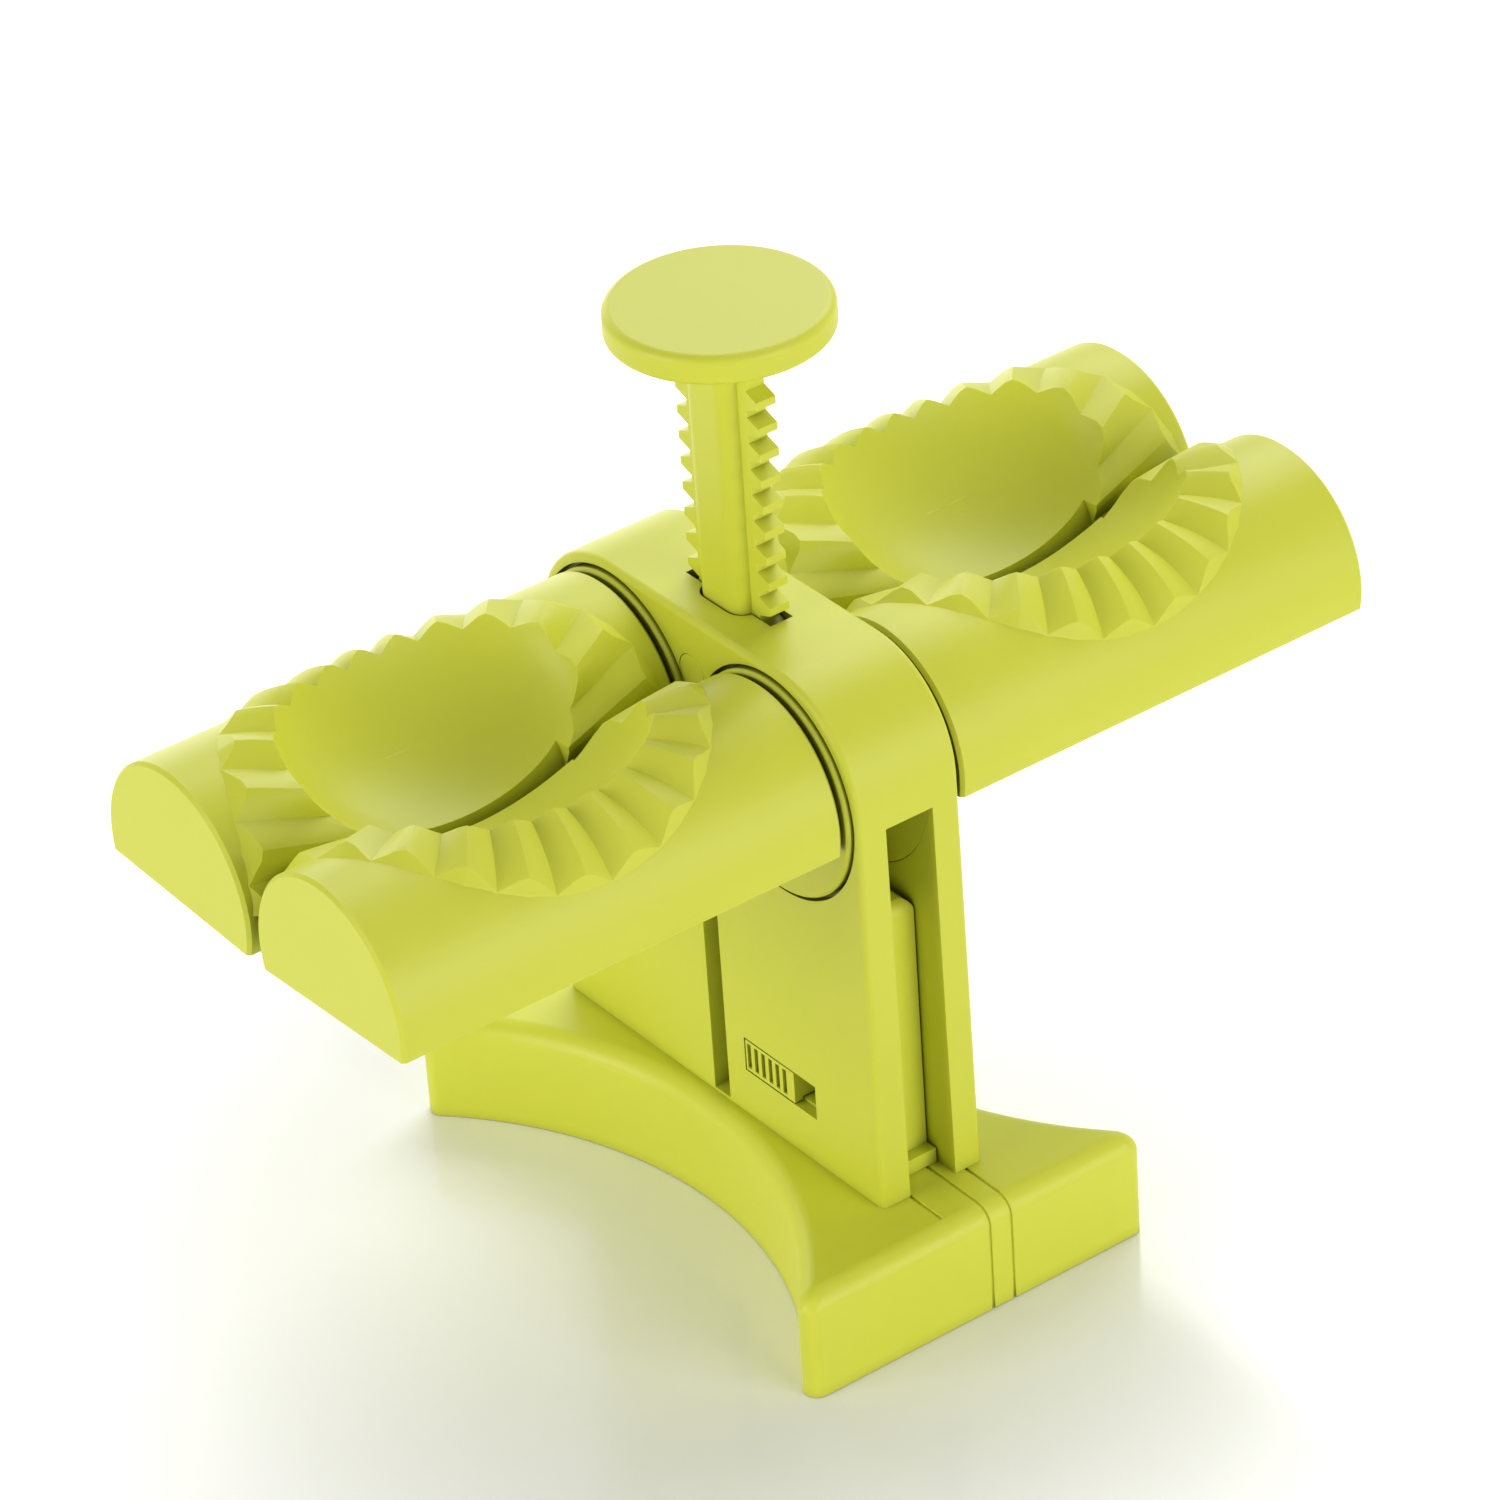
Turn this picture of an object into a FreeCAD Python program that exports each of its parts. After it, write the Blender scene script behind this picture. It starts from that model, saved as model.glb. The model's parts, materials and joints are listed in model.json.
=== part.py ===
"""Double-headed press dumpling maker, modelled as a parametric document in millimetres.

X runs along the moulds, -Y is the front and +Z is up. The origin is the middle of
the base's underside. The plunger is drawn raised, with the moulds' bowls up.
"""
import FreeCAD, Part
import math
import os
import re

V = FreeCAD.Vector
X_AXIS = V(1, 0, 0)
Y_AXIS = V(0, 1, 0)
Z_AXIS = V(0, 0, 1)

# Driving dimensions, in millimetres, degrees and counts
SIZES = {
    "overrun": 1.0,
    # Base
    "base_width": 76.0,
    "base_depth": 109.0,
    "base_height": 20.0,
    "waist_width": 28.4,
    "base_wall": 2.6,
    "base_roof": 3.2,
    "base_corner_round": 2.4,
    "base_edge_round": 3.5,
    "seam_offset": 2.4,
    "seam_spacing": 4.4,
    "channel_offset": 4.7,
    "seam_width": 0.5,
    "seam_depth": 0.4,
    "boss_diameter": 10.0,
    "boss_spacing": 50.0,
    "boss_recess": 4.0,
    "base_rib": 2.0,
    # Column
    "column_thickness": 20.6,
    "column_foot_width": 86.0,
    "column_head_width": 83.6,
    "axis_rise": 72.0,
    "head_rise": 21.4,
    "shoulder_round": 19.0,
    "column_edge_round": 1.2,
    "slot_width": 9.4,
    "slot_drop": 1.0,
    "ring_width": 0.7,
    "ring_depth": 1.8,
    "stop_slot_width": 4.2,
    "stop_slot_sill": 0.6,
    "plug_diameter": 6.4,
    "plug_depth": 2.0,
    "plug_rise": 11.0,
    # Rollers
    "roller_spacing": 41.8,
    "rest_tilt": 2.5,
    "disc_diameter": 39.2,
    "disc_proud": 0.8,
    "disc_edge_bevel": 0.5,
    "disc_floor": 1.6,
    "socket_diameter": 20.2,
    "arbor_side": 7.0,
    "running_clearance": 0.08,
    "fit_clearance": 0.1,
    # Gearing
    "gear_module": 1.5,
    "pinion_teeth": 15,
    "addendum": 1.2,
    "dedendum": 1.6,
    "pressure_angle": 20.0,
    "backlash": 0.5,
    # Plunger
    "cap_diameter": 37.0,
    "cap_height": 5.0,
    "cap_top_round": 1.5,
    "cap_under_round": 0.9,
    "rack_reach": 49.0,
    "rack_length": 107.0,
    "rack_blank": 3.0,
    "rack_core_width": 8.8,
    "rack_core_depth": 12.0,
    "rack_core_round": 3.2,
    "rack_tab_width": 3.8,
    "rack_clearance": 0.35,
    "tenon_diameter": 10.0,
    "tenon_height": 2.5,
    "stop_nub_diameter": 2.4,
    "stop_nub_reach": 3.4,
    # Guide posts
    "post_width": 8.8,
    "post_height": 51.0,
    "post_inner": 27.0,
    "post_outer": 72.0,
    "post_round": 2.5,
    "post_foot_height": 2.8,
    "post_foot_reach": 2.4,
    # Lock slider
    "lock_travel": 5.5,
    "lock_length": 13.0,
    "lock_height": 6.0,
    "lock_depth": 1.7,
    "lock_rise": 9.2,
    "lock_setback": 7.4,
    "lock_gap": 0.3,
    "lock_ribs": 5,
    "lock_rib_width": 0.9,
    "lock_rib_height": 0.7,
    "lock_rib_pitch": 1.9,
    "bolt_length": 3.5,
    "bolt_reach": 5.4,
    "bolt_pocket_depth": 1.8,
    # Moulds
    "mould_length": 84.5,
    "mould_radius": 19.6,
    "mould_flat": 4.4,
    "mould_wall": 2.2,
    "mould_end_bevel": 0.6,
    "shoulder_diameter": 26.0,
    "shoulder_height": 0.9,
    "prong_wall": 3.8,
    "prong_length": 4.4,
    "prong_slit": 3.6,
    "cover_margin": 1.8,
    "cover_thickness": 1.6,
    "cover_corner_round": 2.0,
    "pry_notch_width": 5.0,
    "pry_notch_depth": 0.8,
    # Bowl and crimp ring, along the mould and round its axis
    "bowl_end_margin": 15.2,
    "bowl_half_width": 25.6,
    "bowl_half_depth": 15.2,
    "bowl_angle": 61.0,
    "bowl_rise": 5.0,
    "bowl_wall": 2.0,
    "crimp_end_margin": 1.25,
    "crimp_end_width": 21.4,
    "crimp_inner_angle": 94.5,
    "crimp_outer_angle": 154.0,
    "crimp_ridges": 14,
    "crimp_end_gap": 2.8,
    "crimp_mesh_gap": 0.45,
    "crimp_sill": 0.1,
    "crimp_crest_lean": 0.5,
    "crimp_valley_lean": 1.3,
    "crimp_shoulder_share": 0.68,
    "crimp_crest_share": 0.88,
    "crimp_flank_angle": 35.0,
    "crimp_root": 0.6,
    "crimp_steps": 4,
    # Screws
    "screw_diameter": 3.2,
    "screw_head_diameter": 8.8,
    "screw_head_height": 2.0,
    "screw_length": 9.0,
    "base_screw_length": 16.0,
}

doc = FreeCAD.newDocument("dumpling_maker")
sheet = doc.addObject("Spreadsheet::Sheet", "sizes")
for row, (alias, value) in enumerate(SIZES.items(), start=1):
    sheet.set("A%d" % row, alias)
    sheet.set("B%d" % row, str(value))
    sheet.setAlias("B%d" % row, alias)
doc.recompute()

# Derived places, as formulas on the sheet
AXIS_Z = "(base_height + axis_rise)"
AXIS_Y = "(roller_spacing / 2)"
PITCH_RADIUS = "(gear_module * pinion_teeth / 2)"
RACK_TIP = "(roller_spacing / 2 - gear_module * pinion_teeth / 2 + addendum)"
CAP_Z = "(base_height + axis_rise + head_rise + rack_reach)"
RACK_FOOT_Z = "(base_height + axis_rise + head_rise + rack_reach - rack_length)"
FACE_X = "(column_thickness / 2)"
SAG = "((base_width - waist_width) / 2)"
WAIST_RADIUS = "(((base_depth / 2) ^ 2 + %s ^ 2) / (2 * %s))" % (SAG, SAG)
BOWL_OFFSET = "(mould_radius + bowl_rise)"


def size(alias):
    """Read one driving dimension from the sheet."""
    return float(sheet.get(alias))


def formula(text):
    """Turn a formula on size names into one that reads the sheet."""
    def prefixed(word):
        """Point a size's name at the sheet, and leave a function's name alone."""
        name = word.group()
        return "sizes." + name if name in SIZES else name

    return re.sub(r"[a-z]\w+", prefixed, text)


def bind(item, **links):
    """Bind properties of an object to formulas on the sheet."""
    for prop, text in links.items():
        item.setExpression(prop, formula(text))
    return item


def place(item, x="0", y="0", z="0"):
    """Bind the place of an object to formulas on the sheet."""
    for axis, text in zip("xyz", (x, y, z)):
        if text != "0":
            item.setExpression("Placement.Base." + axis, formula(text))
    return item


def block(name, length, width, height, x="0", y="0", z="0"):
    """A box that stands centred on the point x, y, with its underside at z."""
    item = bind(doc.addObject("Part::Box", name), Length=length, Width=width, Height=height)
    return place(item, "%s - (%s) / 2" % (x, length), "%s - (%s) / 2" % (y, width), z)


def rod(name, radius, height, x="0", y="0", z="0", along=Z_AXIS):
    """A cylinder that starts at the point and runs along an axis."""
    item = bind(doc.addObject("Part::Cylinder", name), Radius=radius, Height=height)
    item.Placement.Rotation = FreeCAD.Rotation(Z_AXIS, along)
    return place(item, x, y, z)


def fuse(name, *items):
    """Join objects into one."""
    item = doc.addObject("Part::MultiFuse", name)
    item.Shapes = list(items)
    return item


def cut(name, base, *tools):
    """Cut objects out of a base."""
    item = doc.addObject("Part::Cut", name)
    item.Base = base
    item.Tool = tools[0] if len(tools) == 1 else fuse(name + "_tools", *tools)
    return item


def common(name, one, other):
    """Keep what two objects share."""
    item = doc.addObject("Part::Common", name)
    item.Base = one
    item.Tool = other
    return item


def fillet(name, base, radius, pick, kind="Part::Fillet"):
    """Round, or bevel, the edges of an object that a test picks."""
    doc.recompute()
    edges = [(at, radius, radius) for at, edge in enumerate(base.Shape.Edges, start=1) if pick(edge)]
    item = doc.addObject(kind, name)
    item.Base = base
    item.Edges = edges
    return item


def runs_along(edge, axis):
    """Tell whether an edge is a straight line along an axis."""
    if not isinstance(edge.Curve, Part.Line):
        return False
    return abs(abs(edge.Curve.Direction.dot(axis)) - 1) < 1e-6


def level_at(edge, height):
    """Tell whether a whole edge lies at one height."""
    box = edge.BoundBox
    return abs(box.ZMin - height) < 1e-4 and abs(box.ZMax - height) < 1e-4


def rounded_block(name, radius, length, width, height, x="0", y="0", z="0"):
    """A block with its upright edges rounded."""
    plain = block(name + "_block", length, width, height, x, y, z)
    return fillet(name, plain, radius, lambda edge: runs_along(edge, Z_AXIS))


def solid_feature(name, shape):
    """A feature that holds a shape worked out in code."""
    item = doc.addObject("Part::Feature", name)
    item.Shape = shape
    return item


finished = []


def finish(item, label):
    """Label a finished sub-part and keep it for writing out."""
    item.Label = label
    finished.append(item)
    return item


def placed_copy(label, shapes, spot, turn=None):
    """Keep one or more solids as a finished sub-part at a place."""
    body = shapes[0] if len(shapes) == 1 else Part.makeCompound(shapes)
    item = solid_feature(label, body)
    item.Placement = FreeCAD.Placement(spot, turn or FreeCAD.Rotation())
    return finish(item, label)


def hourglass(name, blank, inset):
    """A block with the base's concave sides cut into it, drawn in by an inset."""
    sides = []
    for side, sign in (("left", "-"), ("right", "")):
        centre = "%s(waist_width / 2 + %s)" % (sign, WAIST_RADIUS)
        sides.append(rod("%s_%s_side" % (name, side), "%s + (%s)" % (WAIST_RADIUS, inset),
                         "base_height + 4 * overrun", x=centre, z="0 - 2 * overrun"))
    return cut(name, blank, *sides)


def make_base():
    """The hourglass base: a shell open below, with two screw bosses and two seam lines."""
    blank = block("base_block", "base_width", "base_depth", "base_height")
    outer = hourglass("base_outline", blank, "0 * base_wall")
    corners = fillet("base_corners", outer, size("base_corner_round"), lambda edge: runs_along(edge, Z_AXIS))
    top = fillet("base_top", corners, size("base_edge_round"),
                 lambda edge: level_at(edge, size("base_height")))
    room = block("base_room", "base_width - 2 * base_wall", "base_depth - 2 * base_wall",
                 "base_height - base_roof + overrun", z="0 - overrun")
    shell = cut("base_shell_plain", top, hourglass("base_hollow", room, "base_wall"))
    bosses = []
    holes = []
    for side, sign in (("front", "-"), ("rear", "")):
        spot = "%sboss_spacing / 2" % sign
        bosses.append(rod(side + "_boss", "boss_diameter / 2", "base_height - base_roof / 2 - boss_recess",
                          y=spot, z="boss_recess"))
        holes.append(rod(side + "_boss_hole", "screw_diameter / 2 + fit_clearance",
                         "base_height + 2 * overrun", y=spot, z="0 - overrun"))
    rib = block("base_spine_rib", "base_rib", "base_depth - base_wall",
                "base_height - base_roof / 2 - boss_recess", z="boss_recess")
    body = fuse("base_body", shell, rib, *bosses)
    seams = [block("channel_seam", "seam_width", "base_depth - 2 * base_edge_round", "seam_depth + overrun",
                   x="0 - channel_offset", z="base_height - seam_depth")]
    for line in range(2):
        where = "seam_offset + %d * seam_spacing" % line
        slab = block("seam_slab_%d" % line, "seam_width", "base_depth + 2 * overrun",
                     "base_height + overrun", x=where)
        core = block("seam_core_block_%d" % line, "2 * seam_width", "base_depth - 2 * seam_depth",
                     "base_height - seam_depth", x=where)
        core_top = size("base_height") - size("seam_depth")
        rounded = fillet("seam_core_%d" % line, core, size("base_edge_round") - size("seam_depth"),
                         lambda edge: runs_along(edge, X_AXIS) and level_at(edge, core_top))
        seams.append(cut("seam_%d" % line, slab, rounded))
    finish(cut("base_shell", body, *holes, *seams), "base_shell")


def rack_profile(name, gap, bottom, height):
    """The plunger's plain section: a rounded core with a flat tab to the front and the back."""
    core = rounded_block(name + "_core", size("rack_core_round"), "rack_core_width + 2 * (%s)" % gap,
                         "rack_core_depth + 2 * (%s)" % gap, height, z=bottom)
    tab = block(name + "_tab", "rack_tab_width + 2 * (%s)" % gap,
                "2 * (%s + (%s))" % (RACK_TIP, gap), height, z=bottom)
    return fuse(name, core, tab)


def make_column():
    """The column: a tapered housing, forked below, with a round bearing for each drive disc."""
    rise = "axis_rise + head_rise"
    blank = bind(doc.addObject("Part::Wedge", "column_blank"),
                 Xmin="0 - column_thickness / 2", Xmax="column_thickness / 2",
                 X2min="0 - column_thickness / 2", X2max="column_thickness / 2",
                 Ymin="0 * overrun", Ymax=rise,
                 Zmin="0 - column_foot_width / 2", Zmax="column_foot_width / 2",
                 Z2min="0 - column_head_width / 2", Z2max="column_head_width / 2")
    blank.Placement.Rotation = FreeCAD.Rotation(X_AXIS, 90)
    place(blank, z="base_height")
    head = size("base_height") + size("axis_rise") + size("head_rise")
    shoulders = fillet("column_shoulders", blank, size("shoulder_round"),
                       lambda edge: runs_along(edge, X_AXIS) and level_at(edge, head))
    foot = size("base_height")
    half = size("column_thickness") / 2
    rounded = fillet("column_edges", shoulders, size("column_edge_round"),
                     lambda edge: abs(abs(edge.CenterOfMass.x) - half) < 1e-4 and not level_at(edge, foot))
    tip = "(%s + addendum + rack_clearance)" % PITCH_RADIUS
    tools = [
        block("gear_room", "slot_width", "2 * (%s + %s)" % (AXIS_Y, tip), "axis_rise + overrun + %s" % tip,
              z="base_height - overrun"),
        block("fork_slot", "slot_width", "column_foot_width + 2 * overrun",
              "axis_rise - slot_drop + overrun", z="base_height - overrun"),
        rack_profile("rack_hole", "rack_clearance", AXIS_Z, "head_rise + overrun"),
        block("stop_slot", "column_thickness + 2 * overrun", "stop_slot_width",
              "%s - base_height - stop_slot_sill + stop_slot_width" % RACK_FOOT_Z,
              z="base_height + stop_slot_sill"),
    ]
    for depth, sign in (("front", "-"), ("rear", "")):
        spot = sign + AXIS_Y
        tools.append(rod(depth + "_bearing", "disc_diameter / 2 + running_clearance",
                         "column_thickness + 2 * overrun",
                         x="0 - %s - overrun" % FACE_X, y=spot, z=AXIS_Z, along=X_AXIS))
        for side, start in (("left", "0 - %s - overrun" % FACE_X), ("right", "%s - ring_depth" % FACE_X)):
            tools.append(rod("%s_%s_ring" % (depth, side), "disc_diameter / 2 + ring_width",
                             "ring_depth + overrun", x=start, y=spot, z=AXIS_Z, along=X_AXIS))
    plug_z = AXIS_Z + " + plug_rise"
    for side, start in (("left", "0 - %s - overrun" % FACE_X), ("right", "%s - plug_depth" % FACE_X)):
        tools.append(rod(side + "_plug_hole", "plug_diameter / 2 + fit_clearance", "plug_depth + overrun",
                         x=start, z=plug_z, along=X_AXIS))
    lock_y = "0 - lock_setback - (lock_length + lock_travel) / 2"
    tools.append(block("lock_channel", "lock_depth + lock_gap + overrun",
                       "lock_length + lock_travel + 2 * lock_gap", "lock_height + 2 * lock_gap",
                       x="0 - %s + (lock_depth + lock_gap - overrun) / 2" % FACE_X, y=lock_y,
                       z="base_height + lock_rise - lock_gap"))
    tools.append(block("bolt_window", "column_thickness / 2", "lock_travel + bolt_length + 2 * lock_gap",
                       "lock_height - 2 * lock_gap", x="0 - column_thickness / 4",
                       y="0 - lock_setback - lock_length - lock_travel + (lock_travel + bolt_length) / 2",
                       z="base_height + lock_rise + lock_gap"))
    finish(cut("column_housing", rounded, *tools), "column_housing")
    plugs = [rod(side + "_cheek_plug", "plug_diameter / 2", "plug_depth", x=start, z=plug_z, along=X_AXIS)
             for side, start in (("left", "0 - " + FACE_X), ("right", "%s - plug_depth" % FACE_X))]
    group = doc.addObject("Part::Compound", "cheek_plugs")
    group.Links = plugs
    finish(group, "cheek_plugs")


def make_guide_posts():
    """Two posts that stand on the base inside the column's fork and leave the rack room between."""
    thick = "(post_outer - post_inner) / 2"
    for side, sign in (("front", "-"), ("rear", "")):
        middle = "%s(post_outer + post_inner) / 4" % sign
        post = block(side + "_post_block", "post_width", thick, "post_height", y=middle, z="base_height")
        top = size("base_height") + size("post_height")
        rounded = fillet(side + "_post_round", post, size("post_round"), lambda edge: level_at(edge, top))
        foot = block(side + "_post_foot", "post_width", "post_foot_reach + overrun", "post_foot_height",
                     y="%s(post_outer / 2 + (post_foot_reach - overrun) / 2)" % sign, z="base_height")
        tools = [rod(side + "_post_hole", "screw_diameter / 2 + fit_clearance",
                     "base_screw_length + fit_clearance", y="%sboss_spacing / 2" % sign, z="boss_recess")]
        if side == "front":
            room = "bolt_length + 2 * lock_gap"
            pocket_y = "0 - lock_setback - lock_length + bolt_length / 2"
            face = "0 - post_width / 2 + (bolt_pocket_depth - overrun) / 2"
            depth = "bolt_pocket_depth + overrun"
            tools.append(block("bolt_pocket", depth, "%s + lock_travel" % room, "lock_height",
                               x=face, y="%s - lock_travel / 2" % pocket_y, z="base_height + lock_rise"))
            tools.append(block("bolt_track", depth, room, "post_height", x=face,
                               y="%s - lock_travel" % pocket_y, z="base_height + lock_rise"))
        finish(cut(side + "_guide_post", fuse(side + "_post", rounded, foot), *tools), side + "_guide_post")


def make_lock_slider():
    """The ribbed slider that locks the column to the front guide post."""
    middle = "0 - lock_setback - lock_length / 2"
    plate = block("lock_plate", "lock_depth", "lock_length", "lock_height",
                  x="0 - %s + lock_depth / 2" % FACE_X, y=middle, z="base_height + lock_rise")
    bolt = block("lock_bolt", "bolt_reach + overrun", "bolt_length", "lock_height - 4 * lock_gap",
                 x="0 - %s + lock_depth + (bolt_reach - overrun) / 2" % FACE_X,
                 y="0 - lock_setback - lock_length + bolt_length / 2",
                 z="base_height + lock_rise + 2 * lock_gap")
    grooves = []
    for count in range(int(size("lock_ribs")) + 1):
        grooves.append(block("lock_groove_%d" % count, "2 * lock_rib_height",
                             "lock_rib_pitch - lock_rib_width", "lock_height - 4 * lock_gap",
                             x="0 - " + FACE_X,
                             y="0 - lock_setback - lock_rib_pitch * (%d + 1 / 2)" % count,
                             z="base_height + lock_rise + 2 * lock_gap"))
    finish(cut("lock_slider", fuse("lock_body", plate, bolt), *grooves), "lock_slider")


def extruded(points, width):
    """A prism along X, centred on x = 0, over an outline in Y and Z."""
    corners = [V(-width / 2, y, z) for y, z in points]
    return Part.Face(Part.makePolygon(corners + corners[:1])).extrude(V(width, 0, 0))


def rack_teeth():
    """The toothed tabs of the plunger: straight-sided teeth to the front and the back."""
    pitch = math.pi * size("gear_module")
    slope = math.tan(math.radians(size("pressure_angle")))
    line = size("roller_spacing") / 2 - size("gear_module") * size("pinion_teeth") / 2
    tip = line + size("addendum")
    root = line - size("dedendum")
    half = (pitch - size("backlash") / 2) / 4
    tip_half = half - size("addendum") * slope
    root_half = half + size("dedendum") * slope
    axis = size("base_height") + size("axis_rise")
    top = axis + size("head_rise") + size("rack_reach")
    foot = top - size("rack_length")
    low = math.ceil((foot + root_half - axis) / pitch)
    high = math.floor((top - size("rack_blank") - root_half - axis) / pitch)
    edge = [(root, foot)]
    for count in range(low, high + 1):
        middle = axis + count * pitch
        edge += [(root, middle - root_half), (tip, middle - tip_half)]
        edge += [(tip, middle + tip_half), (root, middle + root_half)]
    edge.append((root, top))
    return extruded(edge + [(-y, z) for y, z in reversed(edge)], size("rack_tab_width"))


def make_plunger():
    """The press cap and the double-sided rack that it pushes down."""
    cap = rod("cap_disc", "cap_diameter / 2", "cap_height", z=CAP_Z)
    under = size("base_height") + size("axis_rise") + size("head_rise") + size("rack_reach")
    over = fillet("cap_top", cap, size("cap_top_round"),
                  lambda edge: level_at(edge, under + size("cap_height")))
    both = fillet("cap_rounded", over, size("cap_under_round"), lambda edge: level_at(edge, under))
    socket = rod("cap_socket", "tenon_diameter / 2 + fit_clearance",
                 "tenon_height + fit_clearance + overrun", z=CAP_Z + " - overrun")
    finish(cut("press_cap", both, socket), "press_cap")
    core = rounded_block("rack_core", size("rack_core_round"), "rack_core_width", "rack_core_depth",
                         "rack_length", z=RACK_FOOT_Z)
    teeth = solid_feature("rack_teeth", rack_teeth())
    tenon = rod("rack_tenon", "tenon_diameter / 2", "tenon_height + overrun", z=CAP_Z + " - overrun")
    nub = rod("stop_nub", "stop_nub_diameter / 2", "rack_core_width + 2 * stop_nub_reach",
              x="0 - rack_core_width / 2 - stop_nub_reach", z=RACK_FOOT_Z + " + stop_nub_diameter / 2",
              along=X_AXIS)
    finish(fuse("rack_bar", core, teeth, tenon, nub), "rack_bar")


def pinion_outline():
    """The outline of a pinion: involute teeth with a gap facing the rack along +Y."""
    count = int(size("pinion_teeth"))
    pitch_radius = size("gear_module") * count / 2
    angle = math.radians(size("pressure_angle"))
    base_radius = pitch_radius * math.cos(angle)
    tip = pitch_radius + size("addendum")
    root = pitch_radius - size("dedendum")
    half = math.pi / (2 * count) - size("backlash") / (4 * pitch_radius)

    def half_angle(radius):
        """Half of the tooth's angle at a radius."""
        turn = math.acos(min(1, base_radius / radius))
        return half + (math.tan(angle) - angle) - (math.tan(turn) - turn)

    radii = [root, base_radius, pitch_radius, tip]
    points = []
    for tooth in range(count):
        middle = (tooth + 0.5) * 2 * math.pi / count
        flank = [(radius, half_angle(radius)) for radius in radii]
        for radius, spread in flank:
            points.append((radius * math.cos(middle - spread), radius * math.sin(middle - spread)))
        for radius, spread in reversed(flank):
            points.append((radius * math.cos(middle + spread), radius * math.sin(middle + spread)))
    return points


def screw(length):
    """A pan-headed screw along +X, with its head's underside at x = 0."""
    head = Part.makeCylinder(size("screw_head_diameter") / 2, size("screw_head_height"), V(), -X_AXIS)
    shank = Part.makeCylinder(size("screw_diameter") / 2, length, V(), X_AXIS)
    return head.fuse(shank).removeSplitter()


def make_drive(depth, sign):
    """A pinion on its square arbor, with a drive disc and a screw at each end."""
    spot = V(0, sign * size("roller_spacing") / 2, size("base_height") + size("axis_rise"))
    width = size("slot_width")
    arbor = size("arbor_side")
    reach = width + 2 * size("disc_floor")
    bar = Part.makeBox(reach, arbor, arbor, V(-reach / 2, -arbor / 2, -arbor / 2))
    pinion = extruded(pinion_outline(), width).fuse(bar).removeSplitter()
    hole = size("screw_diameter") / 2 + size("fit_clearance")
    start = -reach / 2 - size("overrun")
    drill = Part.makeCylinder(hole, -2 * start, V(start, 0, 0), X_AXIS)
    pinion = pinion.cut(drill)
    if sign > 0:
        pinion = pinion.mirror(V(), Y_AXIS)
    placed_copy(depth + "_pinion", [pinion], spot)

    disc_start = width / 2
    disc_end = size("column_thickness") / 2 + size("disc_proud")
    thick = disc_end - disc_start
    outside = Part.makeCylinder(size("disc_diameter") / 2, thick, V(disc_start, 0, 0), X_AXIS)
    rim = [edge for edge in outside.Edges if abs(edge.BoundBox.XMin - disc_end) < 1e-6]
    outside = outside.makeChamfer(size("disc_edge_bevel"), rim)
    floor_end = disc_start + size("disc_floor")
    socket = Part.makeCylinder(size("socket_diameter") / 2, disc_end, V(floor_end, 0, 0), X_AXIS)
    window = arbor + 2 * size("fit_clearance")
    square = Part.makeBox(disc_end, window, window, V(0, -window / 2, -window / 2))
    disc = outside.cut(socket).cut(square)
    one_screw = screw(size("screw_length"))
    one_screw.rotate(V(), Z_AXIS, 180)
    one_screw.translate(V(floor_end, 0, 0))
    placed_copy(depth + "_right_disc", [disc], spot)
    placed_copy(depth + "_left_disc", [disc.mirror(V(), X_AXIS)], spot)
    placed_copy(depth + "_disc_screws", [one_screw, one_screw.mirror(V(), X_AXIS)], spot)


def ring_point(turn, share, height):
    """A point at a turn round the crimp ring, a share across it and a height off the mould.

    A place on the mould's round side is its x from the mould's middle and its angle from the
    nip side over the top. Both run on half ellipses that grow from the inner to the outer share.
    """
    middle = size("mould_length") / 2
    length = middle - size("crimp_end_margin") - (1 - share) * size("crimp_end_width")
    inner_angle = size("crimp_inner_angle")
    angle = inner_angle + share * (size("crimp_outer_angle") - inner_angle)
    angle = math.radians(angle) * math.sin(turn)
    reach = size("mould_radius") + height
    return V(middle + length * math.cos(turn), reach * math.cos(angle), reach * math.sin(angle))


def ring_solid(turns, under, over):
    """A closed solid that follows the crimp ring, between a lower and an upper line at each turn.

    Each line is two pairs, of a share across the ring and a height there. A smooth curve runs
    along it, and ruled faces join each curve to the next.
    """
    steps = int(size("crimp_steps"))

    def points(turn, line):
        """Points along a line across the ring."""
        (share, height), (end_share, end_height) = line
        spread = [step / steps for step in range(steps + 1)]
        return [ring_point(turn, share + at * (end_share - share), height + at * (end_height - height))
                for at in spread]

    def curve(line_points):
        """A smooth curve through points."""
        spline = Part.BSplineCurve()
        spline.interpolate(line_points)
        return spline.toShape()

    lows = [points(turn, line) for turn, line in zip(turns, under)]
    highs = [points(turn, line) for turn, line in zip(turns, over)]
    low_curves = [curve(low) for low in lows]
    high_curves = [curve(high) for high in highs]
    faces = [Part.makeRuledSurface(low_curves[end], high_curves[end]) for end in (0, -1)]
    for curves in (low_curves, high_curves):
        faces += [Part.makeRuledSurface(here, there) for here, there in zip(curves, curves[1:])]
    for side in (0, -1):
        walls = [Part.makeLine(low[side], high[side]) for low, high in zip(lows, highs)]
        faces += [Part.makeRuledSurface(here, there) for here, there in zip(walls, walls[1:])]
    shell = Part.makeShell(faces)
    shell.sewShape()
    ring = Part.makeSolid(shell.Shells[0])
    if ring.Volume < 0:
        ring.reverse()
    return ring


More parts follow.
